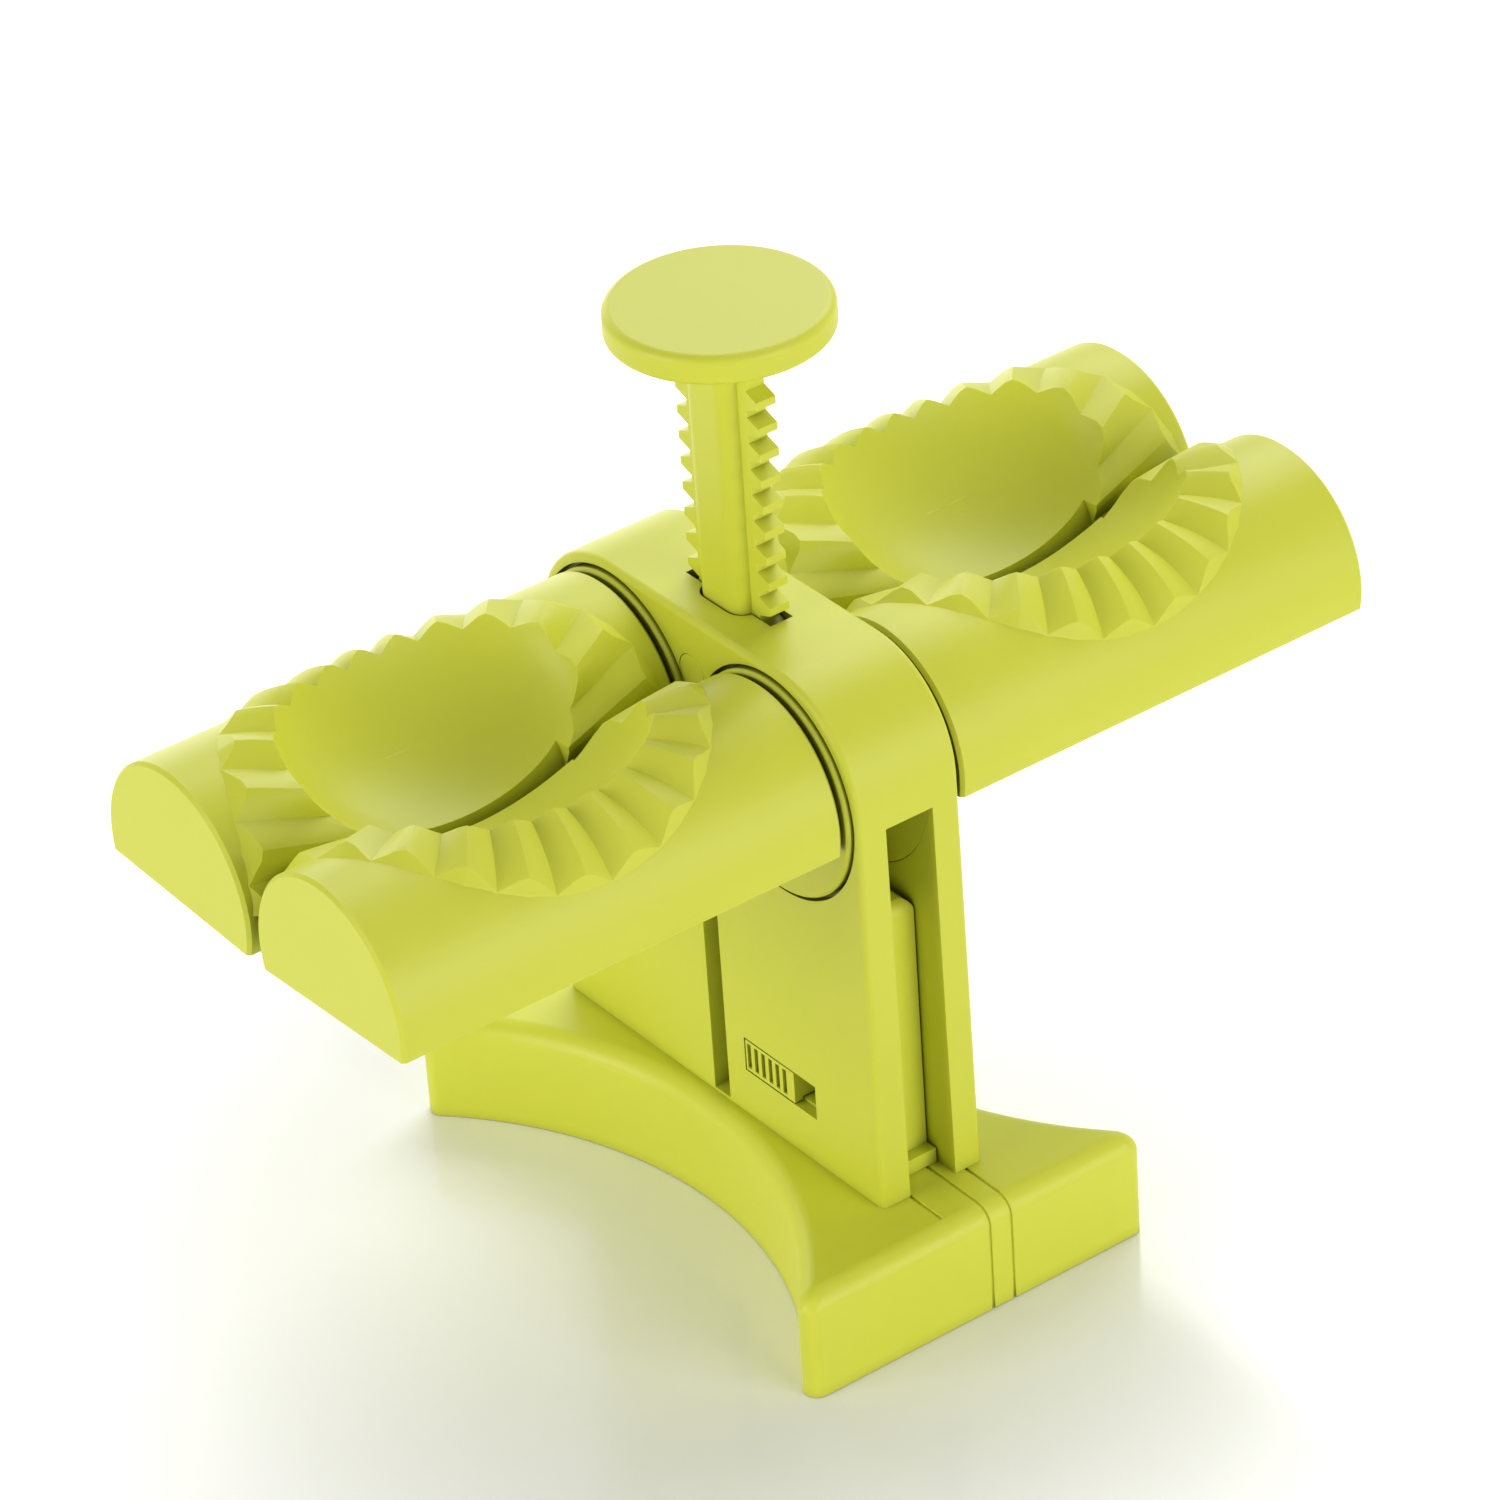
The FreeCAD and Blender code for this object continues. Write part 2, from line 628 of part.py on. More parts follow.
def crimp_turns(end_gap):
    """The turns at the crests and valleys, which stand evenly along the ring's outer outline."""
    count = 2 * int(size("crimp_ridges"))
    fine = [math.pi * at / (count * count) for at in range(count * count + 1)]
    half_length = size("mould_length") / 2 - size("crimp_end_margin")
    half_arc = size("mould_radius") * math.radians(size("crimp_outer_angle"))
    run = [0]
    for turn, later in zip(fine, fine[1:]):
        run.append(run[-1] + math.hypot(half_length * (math.cos(later) - math.cos(turn)),
                                        half_arc * (math.sin(later) - math.sin(turn))))
    pitch = (run[-1] - 2 * end_gap) / count
    return [next(turn for turn, done in zip(fine, run) if done >= end_gap + at * pitch - 1e-9)
            for at in range(count + 1)]


def crimp_lines(depth):
    """The lines of the valleys and of the crests, as heights at the inner and the outer share.

    The front ring sinks towards the bowl and the rear ring rises, so that each one's crests
    run in the other's valleys when the rollers turn together.
    """
    nip = size("roller_spacing") - 2 * size("mould_radius") - size("crimp_mesh_gap")
    sill = size("crimp_sill")
    valley = (sill - size("crimp_valley_lean"), sill)
    crest = (nip - sill - size("crimp_crest_lean"), nip - sill)
    if depth == "front":
        return valley, crest
    return [nip - height for height in crest], [nip - height for height in valley]


def crimp_band(top):
    """The raised band that the crimp ridges are cut from, with a sloping flank outside."""
    turns = crimp_turns(size("crimp_end_gap"))
    slope = math.tan(math.radians(size("crimp_flank_angle"))) * size("crimp_end_width")
    root = size("crimp_root")
    low = ((0, -root), (1 + root / slope, -root))
    high = ((0, top), (1 - top / slope, top))
    return ring_solid(turns, [low] * len(turns), [high] * len(turns))


def crimp_rises(depth):
    """The turns round the ring, each with its share of the rise from valley to crest.

    A valley is sharp. A crest is eased by a shoulder on each side of it.
    """
    first = 0 if depth == "front" else 1
    marks = [(turn, (at + first) % 2) for at, turn in enumerate(crimp_turns(size("crimp_end_gap")))]
    shoulder = size("crimp_shoulder_share")
    rises = []
    for (turn, high), (later, _) in zip(marks, marks[1:]):
        between = 1 - shoulder if high else shoulder
        rises.append((turn, high * size("crimp_crest_share")))
        rises.append((turn + between * (later - turn), shoulder))
    turn, high = marks[-1]
    return rises + [(turn, high * size("crimp_crest_share"))]


def crimp_air(depth, top):
    """What is cut away over the ridges: facets that rise and fall from valley to crest in turn."""
    lap = size("overrun") / size("crimp_end_width")
    valley, crest = crimp_lines(depth)
    rises = crimp_rises(depth)
    under = []
    for _, rise in rises:
        inner, outer = [low + rise * (high - low) for low, high in zip(valley, crest)]
        drop = lap * (outer - inner)
        under.append(((-lap, inner - drop), (1 + lap, outer + drop)))
    ends = crimp_turns(size("crimp_end_gap") - size("overrun"))
    turns = [ends[0]] + [turn for turn, _ in rises] + [ends[-1]]
    under = under[:1] + under + under[-1:]
    high = ((-lap, top + size("overrun")), (1 + lap, top + size("overrun")))
    return ring_solid(turns, under, [high] * len(turns))


def bowl_hollow(name):
    """The bowl's hollow: half an egg sunk in the mould's round side."""
    item = bind(doc.addObject("Part::Ellipsoid", name), Radius1="bowl_half_depth",
                Radius2="mould_length / 2 - bowl_end_margin", Radius3="bowl_half_width")
    item.Placement.Rotation = FreeCAD.Rotation(X_AXIS, size("bowl_angle") - 90)
    return place(item, "mould_length / 2", BOWL_OFFSET + " * cos(bowl_angle)",
                 BOWL_OFFSET + " * sin(bowl_angle)")


def mould_form(depth):
    """One mould about its own axis: it runs along +X from the disc, with the nip on its +Y side."""
    round_bar = rod(depth + "_round", "mould_radius", "mould_length", along=X_AXIS)
    ends = fillet(depth + "_round_ends", round_bar, size("mould_end_bevel"), lambda edge: edge.Closed,
                  kind="Part::Chamfer")
    keep = block(depth + "_keep", "mould_length", "2 * mould_radius", "mould_radius + mould_flat",
                 x="mould_length / 2", z="0 - mould_flat")
    dome = common(depth + "_dome", ends, keep)
    top = max(max(line) for line in crimp_lines(depth)) + size("overrun")
    band = solid_feature(depth + "_crimp_band", crimp_band(top))
    air = solid_feature(depth + "_crimp_air", crimp_air(depth, top))
    bowl = bowl_hollow(depth + "_bowl")
    shoulder = rod(depth + "_shoulder", "shoulder_diameter / 2", "shoulder_height + overrun",
                   x="0 - shoulder_height", along=X_AXIS)
    prongs = rod(depth + "_prongs", "socket_diameter / 2 - fit_clearance",
                 "prong_length + shoulder_height + overrun", x="0 - shoulder_height - prong_length",
                 along=X_AXIS)
    bore = rod(depth + "_prong_bore", "socket_diameter / 2 - fit_clearance - prong_wall",
               "prong_length + shoulder_height", x="0 - shoulder_height - prong_length", along=X_AXIS)
    slit = block(depth + "_prong_slit", "prong_length", "prong_slit", "2 * socket_diameter",
                 x="0 - shoulder_height - prong_length / 2", z="0 - socket_diameter")
    half_width = "sqrt(mould_radius ^ 2 - mould_flat ^ 2)"
    seat = rounded_block(depth + "_cover_seat", size("cover_corner_round"),
                         "mould_length - 2 * cover_margin", "2 * (%s - cover_margin)" % half_width,
                         "cover_thickness + overrun",
                         x="mould_length / 2", z="0 - mould_flat - overrun")
    bowl_drop = "sqrt((bowl_half_width * cos(bowl_angle)) ^ 2 + (bowl_half_depth * sin(bowl_angle)) ^ 2)"
    room_z = "(cover_thickness - mould_flat - overrun)"
    room_block = block(depth + "_room_block", "mould_length - 2 * cover_margin - 2 * mould_wall",
                       "2 * (%s - cover_margin - mould_wall / 2)" % half_width,
                       "%s * sin(bowl_angle) - %s - bowl_wall - %s" % (BOWL_OFFSET, bowl_drop, room_z),
                       x="mould_length / 2", z=room_z)
    room_round = rod(depth + "_room_round", "mould_radius - mould_wall", "mould_length", along=X_AXIS)
    room = common(depth + "_room", room_round, room_block)
    stage = fuse(depth + "_mould_body", dome, band, shoulder, prongs)
    stage = cut(depth + "_mould_crimped", stage, air)
    stage = cut(depth + "_mould_bowl", stage, bowl)
    stage = cut(depth + "_mould_seat", stage, seat)
    stage = cut(depth + "_mould_room", stage, room)
    stage = cut(depth + "_mould_split", stage, bore)
    return cut(depth + "_mould_form", stage, slit)


def cover_form():
    """One cover plate in its mould's own frame, with a pry notch in the middle of its outer end."""
    half_width = "sqrt(mould_radius ^ 2 - mould_flat ^ 2)"
    plate = rounded_block("cover_plate", size("cover_corner_round"),
                          "mould_length - 2 * cover_margin - 2 * fit_clearance",
                          "2 * (%s - cover_margin - fit_clearance)" % half_width, "cover_thickness",
                          x="mould_length / 2", z="0 - mould_flat")
    notch = block("pry_notch", "2 * pry_notch_depth", "pry_notch_width", "cover_thickness + 2 * overrun",
                  x="mould_length - cover_margin - fit_clearance", z="0 - mould_flat - overrun")
    return cut("cover_form", plate, notch)


def make_moulds():
    """The four moulds and their covers, each turned by the rollers' tilt at rest."""
    cover = cover_form()
    forms = {"front": mould_form("front"), "rear": mould_form("rear")}
    doc.recompute()
    for depth, sign in (("front", -1), ("rear", 1)):
        for side, way in (("left", -1), ("right", 1)):
            spot = V(way * (size("column_thickness") / 2 + size("disc_proud") + size("shoulder_height")),
                     sign * size("roller_spacing") / 2, size("base_height") + size("axis_rise"))
            turn = FreeCAD.Rotation(X_AXIS, sign * size("rest_tilt"))
            for kind, form in (("mould", forms[depth]), ("cover", cover)):
                shape = form.Shape.copy()
                if sign > 0:
                    shape = shape.mirror(V(), Y_AXIS)
                if way < 0:
                    shape = shape.mirror(V(), X_AXIS)
                placed_copy("%s_%s_%s" % (depth, side, kind), [shape], spot, turn)


def make_base_screws():
    """The two screws that hold the guide posts from under the base."""
    one = screw(size("base_screw_length"))
    one.rotate(V(), Y_AXIS, -90)
    half = size("boss_spacing") / 2
    pair = []
    for sign in (-1, 1):
        copy = one.copy()
        copy.translate(V(0, sign * half, size("boss_recess")))
        pair.append(copy)
    placed_copy("base_screws", pair, V())


make_base()
make_column()
make_guide_posts()
make_lock_slider()
make_plunger()
make_drive("front", -1)
make_drive("rear", 1)
make_moulds()
make_base_screws()
doc.recompute()

for item in doc.Objects:
    if "Invalid" in item.State or "Error" in item.State:
        raise RuntimeError("%s failed: %s" % (item.Name, item.State))
for item in finished:
    if item.Shape.isNull() or not item.Shape.isValid():
        raise RuntimeError("%s has no valid shape" % item.Label)

os.makedirs("parts", exist_ok=True)
for item in finished:
    item.Shape.exportStep("parts/%s.step" % item.Label)
    print("%-20s solids %d volume %.1f" % (item.Label, len(item.Shape.Solids), item.Shape.Volume))
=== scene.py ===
"""Looks of the press dumpling maker: its finishes, soft edges, light and camera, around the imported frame.

Lengths are in metres in the frame's own axes: X along the moulds, -Y the front, +Z up.
"""

import json
import logging
import math
from dataclasses import dataclass, field
from enum import Enum
from typing import Any, ClassVar

import bmesh
import bpy
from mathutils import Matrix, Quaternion, Vector

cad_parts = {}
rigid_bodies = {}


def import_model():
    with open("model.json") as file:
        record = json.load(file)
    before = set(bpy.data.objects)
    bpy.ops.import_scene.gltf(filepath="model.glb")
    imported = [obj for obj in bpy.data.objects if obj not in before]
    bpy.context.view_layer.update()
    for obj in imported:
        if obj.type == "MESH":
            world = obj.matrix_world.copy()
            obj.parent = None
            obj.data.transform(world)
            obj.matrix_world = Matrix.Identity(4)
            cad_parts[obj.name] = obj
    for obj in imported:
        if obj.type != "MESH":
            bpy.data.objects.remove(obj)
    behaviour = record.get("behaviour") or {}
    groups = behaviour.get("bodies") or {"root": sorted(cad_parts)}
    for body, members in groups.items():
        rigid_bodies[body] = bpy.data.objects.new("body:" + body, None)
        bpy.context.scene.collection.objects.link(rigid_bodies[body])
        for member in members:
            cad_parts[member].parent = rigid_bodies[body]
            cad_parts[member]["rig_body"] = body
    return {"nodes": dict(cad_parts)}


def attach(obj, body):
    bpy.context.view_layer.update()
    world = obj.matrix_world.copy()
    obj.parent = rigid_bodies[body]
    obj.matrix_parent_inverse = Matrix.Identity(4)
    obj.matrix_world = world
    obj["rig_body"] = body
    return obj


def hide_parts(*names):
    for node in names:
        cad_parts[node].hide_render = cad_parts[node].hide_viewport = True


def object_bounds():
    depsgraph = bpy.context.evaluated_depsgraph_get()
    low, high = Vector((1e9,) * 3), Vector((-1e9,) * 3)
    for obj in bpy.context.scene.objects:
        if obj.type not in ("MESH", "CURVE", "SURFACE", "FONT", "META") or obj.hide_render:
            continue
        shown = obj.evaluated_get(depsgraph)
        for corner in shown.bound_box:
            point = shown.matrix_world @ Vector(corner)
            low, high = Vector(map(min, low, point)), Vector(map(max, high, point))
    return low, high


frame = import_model()
CAD_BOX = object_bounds()

LOG = logging.getLogger("dumpling_maker")
MM = 0.001


class Slot(Enum):
    """The record's material slots."""

    LIME = "lime_plastic"
    STEEL = "steel_screws"


class Depth(Enum):
    """The two rollers, with the way along Y that each one lies."""

    FRONT = -1
    REAR = 1


class Side(Enum):
    """The two ends of a roller, with the way along X that each one points."""

    LEFT = -1
    RIGHT = 1


def linear(code: str) -> tuple[float, float, float, float]:
    """Turn an sRGB hex colour into linear light.

    Args:
        code: The colour as "#RRGGBB".

    Returns:
        Red, green, blue and alpha, from 0 to 1.
    """
    parts = [int(code[at:at + 2], 16) / 255 for at in (1, 3, 5)]
    light = [part / 12.92 if part <= 0.04045 else ((part + 0.055) / 1.055) ** 2.4 for part in parts]
    return (*light, 1.0)


def add_node(tree: bpy.types.NodeTree, kind: str, settings: dict[str, Any] | None = None,
             inputs: dict[Any, Any] | None = None) -> bpy.types.Node:
    """Add a node to a tree, with its settings and its inputs.

    Args:
        tree: The tree that gets the node.
        kind: The node's type name.
        settings: Properties of the node, by name.
        inputs: Values, or sockets to link from, by input name or number.

    Returns:
        The new node.
    """
    node = tree.nodes.new(kind)
    for name, value in (settings or {}).items():
        setattr(node, name, value)
    for name, value in (inputs or {}).items():
        if isinstance(value, bpy.types.NodeSocket):
            tree.links.new(value, node.inputs[name])
        else:
            node.inputs[name].default_value = value
    return node


def fresh_material(name: str) -> bpy.types.Material:
    """Make a material with an empty node tree.

    Args:
        name: The material's name.

    Returns:
        The new material.
    """
    item = bpy.data.materials.new(name)
    item.use_nodes = True
    item.node_tree.nodes.clear()
    return item


def backdrop_rays(tree: bpy.types.NodeTree) -> bpy.types.NodeSocket:
    """Mark the rays that look at the backdrop: straight from the camera, mirrored or through glass.

    Args:
        tree: The tree that gets the nodes.

    Returns:
        A socket that is 1 for such a ray and 0 for a ray that gathers light.
    """
    rays = add_node(tree, "ShaderNodeLightPath").outputs
    straight = add_node(tree, "ShaderNodeMath", {"operation": "MAXIMUM"}, {
        0: rays["Is Camera Ray"], 1: rays["Is Glossy Ray"]})
    every = add_node(tree, "ShaderNodeMath", {"operation": "MAXIMUM"}, {
        0: straight.outputs[0], 1: rays["Is Transmission Ray"]})
    return every.outputs[0]


@dataclass(frozen=True)
class MouldedPolypropylene:
    """Polypropylene, injection moulded in a lightly blasted tool.

    It gives the eye one even lime colour with a soft satin sheen, a faint drift of tone where the melt
    flowed, edges that glow a little because the plastic lets light in, and painted shade that darkens narrow
    gaps and creases.
    """

    name: str
    colour: str
    pale: str
    roughness: float
    roughness_drift: float = 0.05
    flow_size: float = 38 * MM
    flow_detail: float = 3.0
    flow_bend: float = 0.6
    # A blasted tool's grain is about 0.1 mm, too fine for the picture, so it is drawn at 0.7 mm
    grain_size: float = 0.7 * MM
    grain_depth: float = 0.012 * MM
    grain_detail: float = 2.0
    glow: float = 0.12
    glow_depth: float = 1.2 * MM
    glow_reach: tuple[float, float, float] = (1.0, 1.0, 0.35)
    index: float = 1.49
    specular: float = 0.36
    # Painted shade: the colour, reach, share and samples of the darkening painted into narrow gaps and
    # creases
    painted_shade_colour: str = "#63670C"
    painted_shade_reach: float = 5.0 * MM
    painted_shade_share: float = 0.72
    painted_shade_samples: int = 8

    def material(self) -> bpy.types.Material:
        """Build the material.

        Returns:
            The new material.
        """
        item = fresh_material(self.name)
        tree = item.node_tree
        place = add_node(tree, "ShaderNodeTexCoord").outputs["Object"]
        flow = add_node(tree, "ShaderNodeTexNoise", {}, {
            "Vector": place, "Scale": 1 / self.flow_size, "Detail": self.flow_detail,
            "Distortion": self.flow_bend})
        tone = add_node(tree, "ShaderNodeMix", {"data_type": "RGBA"}, {
            0: flow.outputs["Fac"], 6: linear(self.colour), 7: linear(self.pale)})
        # Painted shade: an ambient occlusion mask darkens narrow gaps and creases towards a dark olive,
        # standing in for the shade that falls there
        near = add_node(tree, "ShaderNodeAmbientOcclusion", {"samples": self.painted_shade_samples}, {
            "Distance": self.painted_shade_reach})
        unshaded_share = add_node(tree, "ShaderNodeMapRange", {"interpolation_type": "SMOOTHSTEP"}, {
            "Value": near.outputs["AO"], "From Max": self.painted_shade_share})
        tone_with_painted_shade = add_node(tree, "ShaderNodeMix", {"data_type": "RGBA"}, {
            0: unshaded_share.outputs["Result"], 6: linear(self.painted_shade_colour), 7: tone.outputs[2]})
        gloss = add_node(tree, "ShaderNodeMapRange", {}, {
            "Value": flow.outputs["Fac"], "To Min": self.roughness - self.roughness_drift,
            "To Max": self.roughness + self.roughness_drift})
        grain = add_node(tree, "ShaderNodeTexNoise", {}, {
            "Vector": place, "Scale": 1 / self.grain_size, "Detail": self.grain_detail})
        bump = add_node(tree, "ShaderNodeBump", {}, {
            "Strength": 1.0, "Distance": self.grain_depth, "Height": grain.outputs["Fac"]})
        shader = add_node(tree, "ShaderNodeBsdfPrincipled", {"subsurface_method": "RANDOM_WALK"}, {
            "Base Color": tone_with_painted_shade.outputs[2], "Roughness": gloss.outputs["Result"], "IOR": self.index,
            "Specular IOR Level": self.specular, "Normal": bump.outputs["Normal"],
            "Subsurface Weight": self.glow, "Subsurface Radius": self.glow_reach,
            "Subsurface Scale": self.glow_depth})
        add_node(tree, "ShaderNodeOutputMaterial", {}, {"Surface": shader.outputs["BSDF"]})
        return item


@dataclass(frozen=True)
class ZincPlatedSteel:
    """Zinc plated steel, cold headed: a grey metal with a soft shine and faint turning marks."""

    name: str
    colour: str = "#C7C9C6"
    roughness: float = 0.32
    mark_size: float = 0.5 * MM
    mark_depth: float = 0.01 * MM

    def material(self) -> bpy.types.Material:
        """Build the material.

        Returns:
            The new material.
        """
        item = fresh_material(self.name)
        tree = item.node_tree
        place = add_node(tree, "ShaderNodeTexCoord").outputs["Object"]
        marks = add_node(tree, "ShaderNodeTexNoise", {}, {"Vector": place, "Scale": 1 / self.mark_size})
        bump = add_node(tree, "ShaderNodeBump", {}, {
            "Strength": 1.0, "Distance": self.mark_depth, "Height": marks.outputs["Fac"]})
        shader = add_node(tree, "ShaderNodeBsdfPrincipled", {}, {
            "Base Color": linear(self.colour), "Metallic": 1.0, "Roughness": self.roughness,
            "Normal": bump.outputs["Normal"]})
        add_node(tree, "ShaderNodeOutputMaterial", {}, {"Surface": shader.outputs["BSDF"]})
        return item


@dataclass(frozen=True)
class PaleFloor:
    """A smooth pale tabletop: it takes a soft shadow and a faint reflection, and painted light pales it to
    white far off.
    """

    name: str = "pale_coated_board"
    colour: str = "#F8F8F8"
    roughness: float = 0.14
    near: float = 70 * MM
    far: float = 165 * MM
    near_lift: float = 0.05
    far_lift: float = 0.4

    def material(self) -> bpy.types.Material:
        """Build the material, with a little light of its own that is seen but lights nothing.

        Returns:
            The new material.
        """
        item = fresh_material(self.name)
        tree = item.node_tree
        shader = add_node(tree, "ShaderNodeBsdfPrincipled", {}, {
            "Base Color": linear(self.colour), "Roughness": self.roughness})
        place = add_node(tree, "ShaderNodeTexCoord").outputs["Object"]
        # Painted light: the floor's own glow grows from near_lift round the object to far_lift far off, so
        # the floor reads darker round the object as painted shade
        away = add_node(tree, "ShaderNodeVectorMath", {"operation": "LENGTH"}, {0: place})
        lift = add_node(tree, "ShaderNodeMapRange", {"interpolation_type": "SMOOTHSTEP"}, {
            "Value": away.outputs["Value"], "From Min": self.near, "From Max": self.far,
            "To Min": self.near_lift, "To Max": self.far_lift})
        strength = add_node(tree, "ShaderNodeMath", {"operation": "MULTIPLY"}, {
            0: backdrop_rays(tree), 1: lift.outputs["Result"]})
        shine = add_node(tree, "ShaderNodeEmission", {}, {"Strength": strength.outputs[0]})
        both = add_node(tree, "ShaderNodeAddShader", {}, {
            0: shader.outputs["BSDF"], 1: shine.outputs["Emission"]})
        add_node(tree, "ShaderNodeOutputMaterial", {}, {"Surface": both.outputs["Shader"]})
        return item


@dataclass
class Palette:
    """The finishes of the object, made once."""

    body: bpy.types.Material = field(init=False)
    base: bpy.types.Material = field(init=False)
    lid: bpy.types.Material = field(init=False)
    steel: bpy.types.Material = field(init=False)

    def __post_init__(self) -> None:
        """Make each material."""
        self.body = MouldedPolypropylene("satin_moulded_polypropylene", "#D1D53B", "#D8DB49", 0.42).material()
        # Painted light: the base gets a lighter copy of the body's plastic, standing in for light bounced up
        # from the floor onto it
        self.base = MouldedPolypropylene("thick_moulded_polypropylene", "#D8DC3F", "#DEE14C", 0.42).material()
        self.lid = MouldedPolypropylene("smooth_moulded_polypropylene", "#D4D840", "#DADD4E", 0.30).material()
        self.steel = ZincPlatedSteel("zinc_plated_steel").material()


@dataclass
class SoftEdges:
    """How a node's edges are rounded in its dressed copy.

    Args:
        width: The rounding's width.
        segments: The strips that make up a rounding.
        least_angle: The angle from which an edge is rounded.
        sharp_angle: The angle from which an edge of the copy stays sharp.
        flat_angle: The angle up to which faces count as one flat face.
        weld: The distance up to which points count as one.
    """

    width: float
    segments: int = 3
    least_angle: float = math.radians(24)
    sharp_angle: float = math.radians(32)
    flat_angle: float = math.radians(0.4)
    weld: float = 0.004 * MM

    def copy_of(self, node: str, finish: bpy.types.Material) -> bpy.types.Object:
        """Make a rounded copy of a node that stands for it.

        Args:
            node: The CAD node.
            finish: The copy's material.

        Returns:
            The new piece, which rides on the node's own body.
        """
        shell = bmesh.new()
        shell.from_mesh(frame["nodes"][node].data)
        bmesh.ops.remove_doubles(shell, verts=shell.verts, dist=self.weld)
        bmesh.ops.dissolve_limit(shell, angle_limit=self.flat_angle, verts=shell.verts, edges=shell.edges)
        piece = linked(node + "_soft", shell)
        bevel = piece.modifiers.new("soft_edges", "BEVEL")
        bevel.limit_method = "ANGLE"
        bevel.angle_limit = self.least_angle
        bevel.width = self.width
        bevel.segments = self.segments
        bevel.use_clamp_overlap = True
        settle(piece, self.sharp_angle)
        piece.data.materials.clear()
        piece.data.materials.append(finish)
        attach(piece, body_of(node))
        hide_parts(node)
        return piece


def plain(piece: bpy.types.Object) -> bpy.types.Mesh:
    """Turn a piece's modifiers into a plain mesh.

    Args:
        piece: The piece, whose modifiers are removed.

    Returns:
        The piece's new mesh.
    """
    ready = piece.evaluated_get(bpy.context.evaluated_depsgraph_get())
    mesh = bpy.data.meshes.new_from_object(ready)
    piece.modifiers.clear()
    piece.data = mesh
    return mesh


def settle(piece: bpy.types.Object, sharp_angle: float) -> None:
    """Turn a piece's modifiers into a plain smooth mesh, whose large faces shade as flat as they are.

    Args:
        piece: The piece, whose modifiers are removed.
        sharp_angle: The angle from which an edge stays sharp.
    """
    mesh = plain(piece)
    mesh.shade_smooth()
    mesh.set_sharp_from_angle(angle=sharp_angle)
    large_first = piece.modifiers.new("flat_faces", "WEIGHTED_NORMAL")
    large_first.keep_sharp = True
    plain(piece)


def box_of(node: str) -> tuple[Vector, Vector]:
    """The low and the high corner of a CAD node.

    Args:
        node: The CAD node.

    Returns:
        The two corners.
    """
    places = [vertex.co for vertex in frame["nodes"][node].data.vertices]
    return tuple(Vector([pick(place[axis] for place in places) for axis in range(3)]) for pick in (min, max))


def body_of(node: str) -> str:
    """The name of the body that carries a node.

    Args:
        node: The CAD node.

    Returns:
        The body's name.
    """
    return frame["nodes"][node]["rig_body"]


def report(piece: bpy.types.Object) -> None:
    """Log a finished piece.

    Args:
        piece: The piece.
    """
    LOG.info("%s: %d faces", piece.name, len(piece.data.polygons))


@dataclass
class SubAssembly:
    """A group of nodes that are dressed together.

    Args:
        palette: The finishes.
    """

    palette: Palette

    def soften(self, node: str, edges: SoftEdges, finish: bpy.types.Material) -> bpy.types.Object:
        """Make the rounded copy of a plastic node and dress it.

        Args:
            node: The CAD node.
            edges: How its edges are rounded.
            finish: Its material.

        Returns:
            The new piece.
        """
        piece = edges.copy_of(node, finish)
        report(piece)
        return piece

    def dress(self, node: str, finish: bpy.types.Material) -> None:
        """Give a node, left as it is, its material.

        Args:
            node: The CAD node.
            finish: Its material.
        """
        mesh = frame["nodes"][node].data
        mesh.materials.clear()
        mesh.materials.append(finish)


